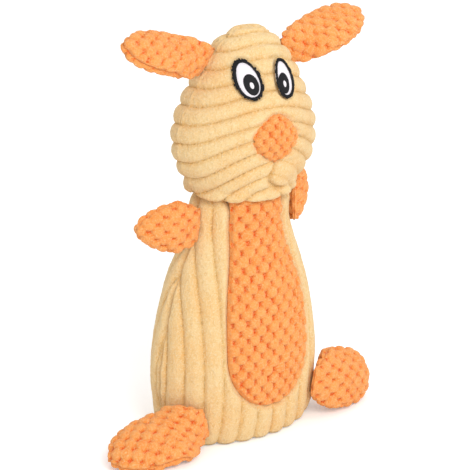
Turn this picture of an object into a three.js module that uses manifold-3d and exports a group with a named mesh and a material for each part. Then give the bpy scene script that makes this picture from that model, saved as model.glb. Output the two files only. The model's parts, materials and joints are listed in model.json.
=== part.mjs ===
// A plush dog toy: a ribbed corduroy body and head, with a belly, nose, ears, arms and feet
// of bobbled plush, polyester filling and a squeaker inside.
// Millimetres, +Z up. The toy stands on its base at the origin and faces -Y; its own right is -X.
import * as THREE from 'three';
import { mergeVertices } from 'three/addons/utils/BufferGeometryUtils.js';
import Module from 'manifold-3d';

// Cloth and sewing
const clothThickness = 2.6;
const ribHeight = 1.8;
const seamGap = 0.3;
const cutOverrun = 20;

// Body
const bodyHeight = 134;
const bodyHalfWidth = 51.2;
const bodyHalfDepth = 33;
const bodyRibCount = 26;
const bodyRibFadeHeight = 14;

// Neck, where the head nods on the body's rounded top
const neckHalfWidth = 30;
const neckHalfDepth = 20;
const neckGap = 0.5;
const neckForward = 3;
const neckSideways = 2;
const headRoll = 0.06;

// Head
const headSkirtHeight = 143;
const headHeight = 91;
const headHalfWidth = 43.4;
const headHalfDepth = 29;
const headRibCount = 9;
const muzzleBulge = 4.6;
const muzzleLevel = 0.4;
const muzzleReach = 24;

// Belly patch
const bellyBottomHeight = 20;
const bellyWidestHeight = 52;
const bellyHalfWidth = 28.5;
const bellyTopHalfWidth = 17.3;
const bellySideways = 5;
const bellyTopSideways = 2;
const bellyWaistShare = 0.6;

// Nose patch
const noseLevel = 0.405;
const noseHalfWidth = 14;
const noseHalfHeight = 13.5;
const noseThickness = 4;

// Eye patches
const eyeLevel = 0.745;
const eyeSpacing = 20.8;
const eyeSideways = -2.6;
const eyeHalfWidth = 6.7;
const eyeHalfHeight = 9.9;
const eyeBorderWidth = 1.4;
const eyeBackingThickness = 0.8;
const eyeThreadThickness = 1.1;
const pupilHalfWidth = 3.5;
const pupilHalfHeight = 5.3;
const pupilInset = 0.9;
const pupilDrop = 1.9;
const glintHalfWidth = 1.1;
const glintHalfHeight = 1.8;
const threadGap = 0.25;

// Limbs: each is a flat pod of two cloth layers, sewn to a side seam along its root
const rootThickness = 5;
const podClothThickness = 2;
// Rows of shares: of the length, half chord and half thickness. The turns round the body and the aims
// (backwards, then upwards) are in radians; the twist turns the pod's flat faces up on the way out.
// Each side has its own pose: its reach is a share of the length, and its lift moves the root up. The ears' low and high ends are shares of the
// head's height.
const ear = {
  length: 50.5, halfChord: 13.2, halfThickness: 7.5,
  right: { twist: -0.85, back: -0.03, rise: 0.29, lift: 0, reach: 1 },
  left: { twist: -0.85, back: 0.14, rise: 0.27, lift: 0, reach: 1 },
  low: 0.67, high: 0.94, lowTurn: 0, highTurn: 0,
  shares: [[0, 0.84, 0.34], [0.12, 0.92, 0.62], [0.35, 1, 0.95], [0.6, 1, 1], [0.82, 0.82, 0.86],
    [0.94, 0.54, 0.58], [1, 0.2, 0.2]],
};
const arm = {
  length: 33.5, halfChord: 14.2, halfThickness: 7.5,
  right: { twist: 0, back: 0.15, rise: 0.09, lift: 0, reach: 1 },
  left: { twist: 0, back: 0.95, rise: 0.25, lift: 0, reach: 1 },
  low: 118.5, high: 138.5, lowTurn: -0.2, highTurn: -0.2,
  shares: [[0, 0.88, 0.34], [0.14, 0.98, 0.68], [0.36, 1, 1], [0.62, 0.82, 0.96], [0.84, 0.58, 0.78],
    [0.95, 0.36, 0.52], [1, 0.16, 0.2]],
};
const foot = {
  length: 54, halfChord: 17.2, halfThickness: 9.5,
  right: { twist: -1.19, back: 0.15, rise: -0.18, lift: 0, reach: 1.03 },
  left: { twist: -0.35, back: 0.33, rise: -0.24, lift: 6, reach: 0.9 },
  low: 7, high: 28, lowTurn: -0.77, highTurn: -0.69,
  shares: [[0, 0.74, 0.26], [0.12, 0.9, 0.5], [0.32, 1, 0.9], [0.6, 0.98, 1], [0.82, 0.78, 0.84],
    [0.94, 0.5, 0.56], [1, 0.2, 0.2]],
};
const twistReach = 0.4;

// Squeaker
const squeakerRadius = 19;
const squeakerHalfThickness = 9;
const squeakerWall = 1.2;
const squeakerHeight = 58;
const squeakerNeckRadius = 4.5;
const squeakerNeckLength = 5;
const valveGap = 0.1;
const valveBoreRadius = 1.6;
const valveFlangeRadius = 6;
const valveFlangeThickness = 1;
const valveLength = 7;

// Shares of the half width and half depth, by share of the height
const bodyShares = [
  [0, 0.838, 0.84], [0.02, 0.882, 0.895], [0.07, 0.941, 0.955], [0.18, 0.985, 1], [0.3, 1, 1],
  [0.42, 0.965, 0.98], [0.54, 0.897, 0.94], [0.64, 0.838, 0.89], [0.73, 0.765, 0.82], [0.82, 0.668, 0.73],
  [0.91, 0.591, 0.64], [1, 0.579, 0.606],
];
const headShares = [
  [0, 0.7, 0.79], [0.085, 0.79, 0.87], [0.2, 0.925, 0.96], [0.31, 0.995, 1], [0.4, 1, 1],
  [0.5, 0.945, 0.97], [0.6, 0.845, 0.91], [0.7, 0.74, 0.83], [0.8, 0.61, 0.72], [0.89, 0.47, 0.55],
  [0.95, 0.35, 0.38], [1, 0.21, 0.18],
];

// Steps of the faceted surfaces
const ribSteps = 3;
const bodyRows = 11;
const domeRows = 3;
const coreSides = 26;
const coreRows = 9;
const headSides = 28;
const podRows = 6;
const podSides = 12;
const outlineSteps = 12;
const layerRows = 15;
const layerSides = 26;
const squeakerSides = 18;

const corduroy = new THREE.MeshStandardMaterial({ color: 0xf5d091, roughness: 0.95, metalness: 0 });
const bobblePlush = new THREE.MeshStandardMaterial({ color: 0xf9a65f, roughness: 0.95, metalness: 0 });
const fibre = new THREE.MeshStandardMaterial({ color: 0xf4f2ec, roughness: 1, metalness: 0 });
const whiteThread = new THREE.MeshStandardMaterial({ color: 0xf0eef0, roughness: 0.5, metalness: 0 });
const blackThread = new THREE.MeshStandardMaterial({ color: 0x17171a, roughness: 0.45, metalness: 0 });
const squeakerPlastic = new THREE.MeshStandardMaterial({ color: 0xe9e6dc, roughness: 0.4, metalness: 0 });

const headLevel = (share) => headSkirtHeight + share * headHeight;
const eyeHeight = headLevel(eyeLevel);
const noseHeight = headLevel(noseLevel);

const wasm = await Module();
wasm.setup();

// A closed geometry as a solid for joins and cuts.
function solid(geometry) {
  const bare = new THREE.BufferGeometry();
  bare.setAttribute('position', geometry.getAttribute('position'));
  bare.setIndex(geometry.getIndex());
  const merged = mergeVertices(bare, 1e-3);
  return new wasm.Manifold(new wasm.Mesh({
    numProp: 3,
    vertProperties: merged.attributes.position.array,
    triVerts: new Uint32Array(merged.index.array),
  }));
}

function named(name, shape, material) {
  const { vertProperties, triVerts, numProp } = shape.getMesh();
  const geometry = new THREE.BufferGeometry();
  const interleaved = new THREE.InterleavedBuffer(vertProperties, numProp);
  geometry.setAttribute('position', new THREE.InterleavedBufferAttribute(interleaved, 3, 0));
  geometry.setIndex(new THREE.BufferAttribute(triVerts, 1));
  const flat = geometry.toNonIndexed();
  flat.computeVertexNormals();
  const mesh = new THREE.Mesh(flat, material);
  mesh.name = name;
  return mesh;
}

// Closes a stack of equal rings, counter-clockwise seen from the last one, with a fan over each end.
function loft(rings) {
  const sides = rings[0].length;
  const last = (rings.length - 1) * sides;
  const points = rings.flat();
  const faces = [];
  for (let row = 0; row < last; row += sides) {
    for (let i = 0; i < sides; i++) {
      const a = row + i;
      const b = row + (i + 1) % sides;
      faces.push(a, b, b + sides, a, b + sides, a + sides);
    }
  }
  const middle = (ring) => ring.reduce((sum, p) => sum.add(p), new THREE.Vector3()).divideScalar(sides);
  const foot = points.push(middle(rings[0])) - 1;
  const top = points.push(middle(rings[rings.length - 1])) - 1;
  for (let i = 0; i < sides; i++) {
    const next = (i + 1) % sides;
    faces.push(foot, next, i, top, last + i, last + next);
  }
  return new THREE.BufferGeometry().setFromPoints(points).setIndex(faces);
}

// A smooth curve through a table's rows, read from one column at a share of the way.
function along(table, share, column) {
  const end = table.length - 1;
  const found = table.findIndex((row) => row[0] > share);
  const i = found < 0 ? end - 1 : Math.max(found - 1, 0);
  const slope = (n) => {
    const before = table[Math.max(n - 1, 0)];
    const after = table[Math.min(n + 1, end)];
    return (after[column] - before[column]) / (after[0] - before[0]);
  };
  const span = table[i + 1][0] - table[i][0];
  const t = (share - table[i][0]) / span;
  const rise = table[i + 1][column] - table[i][column];
  const bend = span * (slope(i) * t * (1 - t) * (1 - t) - slope(i + 1) * t * t * (1 - t));
  return table[i][column] + rise * t * t * (3 - 2 * t) + bend;
}

// A rib's height as a share, from one valley at 0 to the next at 1.
function ribShare(across) {
  return Math.sqrt(Math.sin(Math.PI * (across - Math.floor(across))));
}

// Where the middle of the body stands at a height: it leans a little towards the head.
function bodyMiddle(height) {
  const share = (height / bodyHeight) ** 2;
  return new THREE.Vector3(neckSideways * share, -neckForward * share, height);
}

function oval(halfWidth, halfDepth, middle, sides, shift = () => 0) {
  return Array.from({ length: sides }, (_, i) => {
    const turn = (2 * Math.PI * i) / sides;
    const x = halfWidth(i) * Math.cos(turn);
    const y = halfDepth(i) * Math.sin(turn);
    return new THREE.Vector3(x, y + shift(x, y), 0).add(middle);
  });
}

const neckTilt = new THREE.Euler(0, headRoll, 0);

// The body, from its base over its rounded top, with ribs or smooth, moved in by an inset.
function bodyForm({ inset = 0, rib = () => 0, sides, rows }) {
  const rings = [];
  for (let row = 0; row <= rows; row++) {
    const share = (row / rows) ** 1.25;
    const height = Math.max(share * bodyHeight, inset > 0 ? inset : 0);
    const read = height / bodyHeight;
    const fade = THREE.MathUtils.clamp((bodyHeight - height) / bodyRibFadeHeight, 0, 1);
    const grown = (i) => fade * rib(i) - inset;
    rings.push(oval(
      (i) => bodyHalfWidth * along(bodyShares, read, 1) + grown(i),
      (i) => bodyHalfDepth * along(bodyShares, read, 2) + grown(i),
      bodyMiddle(height), sides,
    ));
  }
  for (let row = 1; row <= domeRows; row++) {
    const lean = (row / (domeRows + 0.4)) * (Math.PI / 2);
    const scale = Math.cos(lean);
    const middle = new THREE.Vector3(0, 0, (neckHalfDepth - inset) * Math.sin(lean));
    const ring = oval(() => (neckHalfWidth - inset) * scale, () => (neckHalfDepth - inset) * scale, middle, sides);
    rings.push(ring.map((point) => point.applyEuler(neckTilt).add(bodyMiddle(bodyHeight))));
  }
  return solid(loft(rings));
}

// How far the muzzle stands forward of the plain oval head.
function muzzle(x, y, height) {
  const away = (x * x + (height - headLevel(muzzleLevel)) ** 2) / (muzzleReach * muzzleReach);
  return y < 0 ? -muzzleBulge * Math.exp(-away) * Math.min(1, (-y * 2) / headHalfDepth) : 0;
}

// The head down to its lower edge; rib gives the height of the ribs at a share of one rib.
function headForm({ inset = 0, rib = () => 0, sides, rows, drop = 0 }) {
  const rings = [];
  const top = headHeight - Math.max(inset, 0);
  for (let row = 0; row <= rows; row++) {
    const height = (row / rows) * top;
    const share = height / headHeight;
    const grown = rib((row / rows) * headRibCount) - inset;
    const level = headSkirtHeight + height;
    rings.push(oval(
      () => headHalfWidth * along(headShares, share, 1) + grown,
      () => headHalfDepth * along(headShares, share, 2) + grown,
      new THREE.Vector3(0, 0, level - (row ? 0 : drop)), sides,
      (x, y) => muzzle(x, y, level),
    ));
  }
  return solid(loft(rings));
}

// A block that keeps one side of the plane y = 0, short of it by half a seam gap.
function halfSpace(side) {
  const size = 2 * (bodyHeight + headHeight);
  const block = new THREE.BoxGeometry(size, size, 2 * size);
  block.translate(0, side * (size / 2 + seamGap / 2), 0);
  return solid(block);
}

// An outline in X and Z as a solid that runs forward from the middle of the toy.
function forward(outline) {
  const depth = bodyHalfDepth + headHalfDepth + cutOverrun;
  const block = new THREE.ExtrudeGeometry(outline, { depth, bevelEnabled: false, curveSegments: outlineSteps });
  block.rotateX(Math.PI / 2);
  return solid(block);
}

function slab(low, high) {
  const size = 2 * (bodyHalfWidth + cutOverrun);
  const block = new THREE.BoxGeometry(size, size, high - low);
  block.translate(0, 0, (low + high) / 2);
  return solid(block);
}

function neckSocket() {
  const ball = new THREE.SphereGeometry(1, coreSides, coreSides / 2);
  ball.rotateZ(Math.PI / 2);
  ball.scale(neckHalfWidth + neckGap, neckHalfDepth + neckGap, neckHalfDepth + neckGap);
  ball.translate(0, 0, bodyHeight);
  return solid(ball);
}

function bellyOutline(grown) {
  const wide = bellyHalfWidth + grown;
  const narrow = bellyTopHalfWidth + grown;
  const top = bodyHeight + 2 * neckHalfDepth;
  const waist = THREE.MathUtils.lerp(bellyWidestHeight, bodyHeight, bellyWaistShare);
  const drop = bellyWidestHeight - bellyBottomHeight + grown;
  const [left, right] = [bellyTopSideways + narrow, bellyTopSideways - narrow];
  const [wideLeft, wideRight] = [bellySideways + wide, bellySideways - wide];
  const outline = new THREE.Shape();
  outline.moveTo(wideLeft, bellyWidestHeight);
  outline.bezierCurveTo(wideLeft, waist, left, waist, left, bodyHeight);
  outline.lineTo(left, top);
  outline.lineTo(right, top);
  outline.lineTo(right, bodyHeight);
  outline.bezierCurveTo(right, waist, wideRight, waist, wideRight, bellyWidestHeight);
  outline.absellipse(bellySideways, bellyWidestHeight, wide, drop, Math.PI, 2 * Math.PI);
  return outline;
}

function squeakerForm(grown) {
  const ball = new THREE.SphereGeometry(1, squeakerSides, squeakerSides / 2);
  ball.scale(squeakerRadius + grown, squeakerHalfThickness + grown, squeakerRadius + grown);
  ball.translate(0, 0, squeakerHeight);
  const top = squeakerRadius + squeakerNeckLength + valveFlangeThickness + 2 * seamGap + grown;
  const radius = valveFlangeRadius + grown;
  const neck = new THREE.CylinderGeometry(radius, radius, top, squeakerSides);
  neck.rotateX(Math.PI / 2);
  neck.translate(0, 0, squeakerHeight + top / 2);
  return solid(ball).add(solid(neck));
}

function makeTorso() {
  const group = new THREE.Group();
  const sides = bodyRibCount * ribSteps;
  const ribbed = bodyForm({ rib: (i) => ribHeight * ribShare(i / ribSteps), sides, rows: bodyRows });
  const inside = bodyForm({ inset: clothThickness, sides: coreSides, rows: coreRows });
  const walls = ribbed.subtract(inside);
  const wallBand = slab(clothThickness + seamGap, bodyHeight + headHeight);
  const front = walls.intersect(wallBand).intersect(halfSpace(-1));
  const back = walls.intersect(wallBand).intersect(halfSpace(1));
  const bellySkin = bodyForm({ rib: () => ribHeight / 2, sides: coreSides, rows: bodyRows }).subtract(inside);
  const belly = bellySkin.intersect(forward(bellyOutline(-seamGap)));
  group.add(
    named('body_front_panel', front.subtract(forward(bellyOutline(0))), corduroy),
    named('belly_panel', belly, bobblePlush),
    named('body_back_panel', back, corduroy),
    named('base_panel', ribbed.intersect(slab(-cutOverrun, clothThickness)), corduroy),
  );

  const core = bodyForm({ inset: clothThickness + seamGap, sides: coreSides, rows: coreRows });
  const pocket = squeakerForm(seamGap);
  group.add(
    named('body_filling_front', core.intersect(halfSpace(-1)).subtract(pocket), fibre),
    named('body_filling_back', core.intersect(halfSpace(1)).subtract(pocket), fibre),
  );
  return group;
}

// A hollow bulb with a short neck, and the reed valve plugged into it.
function makeSqueaker() {
  const group = new THREE.Group();
  group.position.z = squeakerHeight;
  const ball = (radius, thickness) => {
    const form = new THREE.SphereGeometry(1, squeakerSides, squeakerSides / 2);
    form.scale(radius, thickness, radius);
    return solid(form);
  };
  const upright = (radius, low, high) => {
    const rod = new THREE.CylinderGeometry(radius, radius, high - low, squeakerSides);
    rod.rotateX(Math.PI / 2);
    rod.translate(0, 0, (low + high) / 2);
    return solid(rod);
  };
  const neckTop = squeakerRadius + squeakerNeckLength;
  const neckFoot = squeakerRadius - squeakerNeckLength;
  const bore = squeakerNeckRadius - squeakerWall;
  const bulb = ball(squeakerRadius, squeakerHalfThickness)
    .add(upright(squeakerNeckRadius, neckFoot, neckTop))
    .subtract(ball(squeakerRadius - squeakerWall, squeakerHalfThickness - squeakerWall))
    .subtract(upright(bore, neckFoot - squeakerWall, neckTop + cutOverrun));
  const seat = neckTop + seamGap;
  const valve = upright(valveFlangeRadius - squeakerWall, seat, seat + valveFlangeThickness)
    .add(upright(bore - valveGap, seat - valveLength, seat + valveFlangeThickness / 2))
    .subtract(upright(valveBoreRadius, 0, seat + cutOverrun));
  group.add(named('squeaker_bulb', bulb, squeakerPlastic), named('squeaker_valve', valve, squeakerPlastic));
  return group;
}

// A rounded diamond, flatter at the top.
function noseOutline() {
  const outline = new THREE.Shape();
  const side = noseHeight;
  const top = noseHeight + noseHalfHeight;
  const foot = noseHeight - noseHalfHeight;
  const bow = 0.62 * noseHalfWidth;
  outline.moveTo(noseHalfWidth, side);
  outline.bezierCurveTo(noseHalfWidth, side + bow / 2, bow, top, 0, top);
  outline.bezierCurveTo(-bow, top, -noseHalfWidth, side + bow / 2, -noseHalfWidth, side);
  outline.bezierCurveTo(-noseHalfWidth, side - bow, -bow / 2, foot, 0, foot);
  outline.bezierCurveTo(bow / 2, foot, noseHalfWidth, side - bow, noseHalfWidth, side);
  return outline;
}

function ovalOutline(x, z, halfWidth, halfHeight) {
  return new THREE.Shape().absellipse(x, z, halfWidth, halfHeight, 0, 2 * Math.PI);
}

// One embroidered eye: a felt backing, and on it a black border, white field, pupil and glint.
function makeEye(sideName, side, felt, thread) {
  const x = eyeSideways + side * (eyeSpacing / 2);
  const pupilX = x - side * pupilInset;
  const pupilZ = eyeHeight - pupilDrop;
  const cut = (halfWidth, halfHeight, cx = x, cz = eyeHeight) => forward(ovalOutline(cx, cz, halfWidth, halfHeight));
  const rim = (grown) => cut(eyeHalfWidth + grown, eyeHalfHeight + grown);
  const pupil = (grown) => cut(pupilHalfWidth + grown, pupilHalfHeight + grown, pupilX, pupilZ);
  const glint = (grown) => cut(glintHalfWidth + grown, glintHalfHeight + grown, pupilX, pupilZ);
  return [
    named(`eye_${sideName}_backing`, felt.intersect(rim(0)), whiteThread),
    named(`eye_${sideName}_border`, thread.intersect(rim(0)).subtract(rim(-eyeBorderWidth)), blackThread),
    named(`eye_${sideName}_white`,
      thread.intersect(rim(-eyeBorderWidth - threadGap)).subtract(pupil(threadGap)), whiteThread),
    named(`eye_${sideName}_pupil`, thread.intersect(pupil(0)).subtract(glint(threadGap)), blackThread),
    named(`eye_${sideName}_glint`, thread.intersect(glint(0)), whiteThread),
  ];
}

// The head is built upright over the origin, then set on the neck with its slight lean.
function makeHead() {
  const group = new THREE.Group();
  const rows = headRibCount * ribSteps;
  const socket = neckSocket();
  const ribbed = headForm({ rib: (across) => ribHeight * ribShare(across), sides: headSides, rows });
  const inside = headForm({ inset: clothThickness, sides: coreSides, rows: coreRows, drop: cutOverrun });
  const walls = ribbed.subtract(inside).subtract(socket);
  group.add(
    named('head_front_panel', walls.intersect(halfSpace(-1)), corduroy),
    named('head_back_panel', walls.intersect(halfSpace(1)), corduroy),
  );
  const core = headForm({ inset: clothThickness + seamGap, sides: coreSides, rows: coreRows });
  group.add(named('head_filling', core.subtract(socket), fibre));

  // Levels above the ribs' crests; what lies on the cloth follows its ribs underneath.
  const over = (lift) => headForm({ rib: () => ribHeight + lift, sides: layerSides, rows: layerRows });
  const cleared = headForm({ rib: (across) => ribHeight * ribShare(across) + seamGap, sides: headSides, rows });
  const backed = (thickness) => over(seamGap + thickness).subtract(cleared);
  group.add(named('nose_patch', backed(noseThickness).intersect(forward(noseOutline())), bobblePlush));
  const felt = backed(eyeBackingThickness);
  const threadFoot = 2 * seamGap + eyeBackingThickness;
  const thread = over(threadFoot + eyeThreadThickness).subtract(over(threadFoot));
  group.add(...makeEye('right', -1, felt, thread), ...makeEye('left', 1, felt, thread));
  group.add(...makePair('ear', ear, headSurface));
  const upright = new THREE.Vector3(0, 0, bodyHeight).applyEuler(neckTilt);
  group.rotation.copy(neckTilt);
  group.position.copy(bodyMiddle(bodyHeight)).sub(upright);
  return group;
}

// A point on the body as seen from one side; the side seams run in a valley between two ribs.
function bodySurface(height, turn, side) {
  const share = Math.min(height / bodyHeight, 1);
  const crest = turn === 0 ? ribHeight / 3 : ribHeight;
  const middle = bodyMiddle(height);
  middle.x *= side;
  return middle.add(new THREE.Vector3(
    (bodyHalfWidth * along(bodyShares, share, 1) + crest) * Math.cos(turn),
    (bodyHalfDepth * along(bodyShares, share, 2) + crest) * Math.sin(turn),
    0,
  ));
}

const headSurface = (share) => new THREE.Vector3(
  headHalfWidth * along(headShares, share, 1) + ribHeight, 0, headLevel(share),
);

// A pod lies along +X from its root, its chords along Z; its root is round about the Z axis.
function podForm(limb, pose, slope, inset) {
  const rings = [];
  const length = limb.length * pose.reach;
  const rootRadius = rootThickness / 2;
  const ring = (x, halfChord, halfThickness) => {
    const twisted = THREE.MathUtils.smoothstep(x / length, 0, twistReach);
    const turn = pose.twist * twisted;
    return Array.from({ length: podSides }, (_, i) => {
      const angle = (2 * Math.PI * i) / podSides;
      const across = halfThickness * Math.cos(angle);
      const up = halfChord * Math.sin(angle);
      return new THREE.Vector3(
        x,
        across * Math.cos(turn) - up * Math.sin(turn),
        across * Math.sin(turn) + up * Math.cos(turn) + slope * x,
      );
    });
  };
  if (inset === 0) rings.push(ring(-0.8 * rootRadius, limb.halfChord * limb.shares[0][1], 0.6 * rootRadius));
  for (let row = 0; row <= podRows; row++) {
    const share = row / podRows;
    const x = share * (length - 2 * inset) + inset;
    const halfChord = limb.halfChord * along(limb.shares, share, 1) - inset;
    const full = Math.max(limb.halfThickness * along(limb.shares, share, 2), row < 2 ? rootRadius : 0);
    const halfThickness = full - inset;
    if (halfThickness > podClothThickness / 5 && halfChord > podClothThickness)
      rings.push(ring(x, halfChord, halfThickness));
  }
  if (inset === 0)
    rings.push(ring(length + rootRadius / 2, limb.halfChord * 0.12, limb.halfThickness * 0.1));
  return solid(loft(rings));
}

// A limb: two layers of cloth and the filling between them, seated with its root on a surface.
// The group's own Z axis is the seam it hinges about.
function makeLimb(name, limb, pose, surface, side) {
  const low = surface(limb.low + pose.lift, limb.lowTurn, side);
  const high = surface(limb.high + pose.lift, limb.highTurn, side);
  const up = high.clone().sub(low).normalize();
  const level = (limb.low + limb.high) / 2 + pose.lift;
  const turn = (limb.lowTurn + limb.highTurn) / 2;
  const bulge = surface(level, turn, side);
  const aim = new THREE.Vector3(
    Math.cos(pose.back) * Math.cos(pose.rise), Math.sin(pose.back) * Math.cos(pose.rise), Math.sin(pose.rise),
  );
  const out = aim.clone().addScaledVector(up, -aim.dot(up)).normalize();
  const slope = aim.dot(up) / aim.dot(out);

  const group = new THREE.Group();
  const pod = (inset) => podForm(limb, pose, slope, inset);
  const cover = pod(0).subtract(pod(podClothThickness));
  group.add(
    named(`${name}_front`, cover.intersect(halfSpace(-1)), bobblePlush),
    named(`${name}_back`, cover.intersect(halfSpace(1)), bobblePlush),
    named(`${name}_filling`, pod(podClothThickness + seamGap), fibre),
  );
  const square = new THREE.Vector3(Math.cos(turn) / bodyHalfWidth, Math.sin(turn) / bodyHalfDepth, 0);
  const away = square.addScaledVector(up, -square.dot(up)).normalize();
  const middle = low.add(high).divideScalar(2);
  const clear = Math.max(bulge.sub(middle).dot(away), 0) + rootThickness / 2 + seamGap;
  group.position.copy(middle.addScaledVector(away, clear));
  group.quaternion.setFromRotationMatrix(
    new THREE.Matrix4().makeBasis(out, new THREE.Vector3().crossVectors(up, out), up),
  );
  return group;
}

function makePair(name, limb, surface) {
  return [['right', -1], ['left', 1]].map(([sideName, side]) => {
    const mirror = new THREE.Group();
    mirror.scale.x = side;
    mirror.add(makeLimb(`${name}_${sideName}`, limb, limb[sideName], surface, side));
    return mirror;
  });
}

const toy = new THREE.Group();
toy.add(makeTorso(), makeSqueaker(), makeHead());
toy.add(...makePair('arm', arm, bodySurface), ...makePair('foot', foot, bodySurface));

export default toy;
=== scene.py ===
import bpy
import bmesh
import json
import math
import numpy as np
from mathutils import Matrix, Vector

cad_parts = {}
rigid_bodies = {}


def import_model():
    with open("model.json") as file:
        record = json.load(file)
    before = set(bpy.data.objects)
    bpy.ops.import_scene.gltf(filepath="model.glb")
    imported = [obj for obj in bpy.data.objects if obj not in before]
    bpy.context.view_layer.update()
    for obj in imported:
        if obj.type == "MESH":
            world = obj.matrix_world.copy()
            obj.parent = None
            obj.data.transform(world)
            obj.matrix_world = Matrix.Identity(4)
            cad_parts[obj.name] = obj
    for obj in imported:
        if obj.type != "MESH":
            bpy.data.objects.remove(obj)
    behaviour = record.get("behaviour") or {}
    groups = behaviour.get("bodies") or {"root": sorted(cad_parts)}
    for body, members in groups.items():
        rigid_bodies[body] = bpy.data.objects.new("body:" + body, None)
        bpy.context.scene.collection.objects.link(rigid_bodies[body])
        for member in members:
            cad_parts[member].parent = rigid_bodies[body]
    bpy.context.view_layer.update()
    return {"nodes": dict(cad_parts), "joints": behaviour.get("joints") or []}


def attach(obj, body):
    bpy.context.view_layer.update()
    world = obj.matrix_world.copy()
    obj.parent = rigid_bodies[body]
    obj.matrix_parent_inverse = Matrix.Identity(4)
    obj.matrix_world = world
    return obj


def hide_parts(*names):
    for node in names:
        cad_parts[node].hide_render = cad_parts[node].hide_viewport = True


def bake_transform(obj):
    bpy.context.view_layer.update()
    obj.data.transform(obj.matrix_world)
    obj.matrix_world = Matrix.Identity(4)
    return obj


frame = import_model()
mm = 0.001
joints = {joint["name"]: joint for joint in frame["joints"]}


# Reading curves

def readRows(rows, share, column):
    table = np.array(rows, float)
    x, y = table[:, 0], table[:, column]
    share = np.clip(np.asarray(share, float), x[0], x[-1])
    slope = np.gradient(y, x)
    i = np.clip(np.searchsorted(x, share, side="right") - 1, 0, len(x) - 2)
    span = x[i + 1] - x[i]
    t = (share - x[i]) / span
    bend = span * (slope[i] * t * (1 - t) ** 2 - slope[i + 1] * t * t * (1 - t))
    return y[i] + (y[i + 1] - y[i]) * t * t * (3 - 2 * t) + bend


def fade(value, low, high):
    t = np.clip((np.asarray(value, float) - low) / (high - low), 0, 1)
    return t * t * (3 - 2 * t)


def hump(value, height, middle, reach):
    return height * np.exp(-((value - middle) / reach) ** 2)


def atLeast(least, share):  # from least to 1 as the share goes from 0 to 1
    return least + (1 - least) * share


def tilted(x, z, angle):
    return x * np.cos(angle) + z * np.sin(angle), z * np.cos(angle) - x * np.sin(angle)


def waver(points, size, seed=0.0):  # a slow smooth noise, about -1 to 1, one value for each point
    p = np.asarray(points) / size + seed
    a = np.sin(p[..., 0] * 1.9 + 1.3 * np.sin(p[..., 1] * 1.7 + seed))
    b = np.sin(p[..., 1] * 2.3 + 1.1 * np.sin(p[..., 2] * 1.5 + 2 * seed))
    c = np.sin(p[..., 2] * 2.1 + 1.2 * np.sin(p[..., 0] * 1.8 + 3 * seed))
    return (a + b + c) / 3


tips = {"height": 0.15, "size": 0.0009, "fineHeight": 0.11, "fineSize": 0.00052}


def fluff(points, seed):  # the uneven tips of a pile, in millimetres
    coarse = tips["height"] * waver(points, tips["size"], seed)
    return coarse + tips["fineHeight"] * waver(points, tips["fineSize"], seed + 2)


def speck(i, j, seed=0.0):  # one random number from 0 to 1 for each pair of whole numbers
    value = np.sin(i * 12.9898 + j * 78.233 + seed * 37.719) * 43758.5453
    return value - np.floor(value)


# A sewn, stuffed form: a net of rings and sides. It is made smaller than the finished form, blown
# up as cloth with its seams held, and then read anywhere on it by row and turn, for the cloth pieces
# laid over it.

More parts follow.
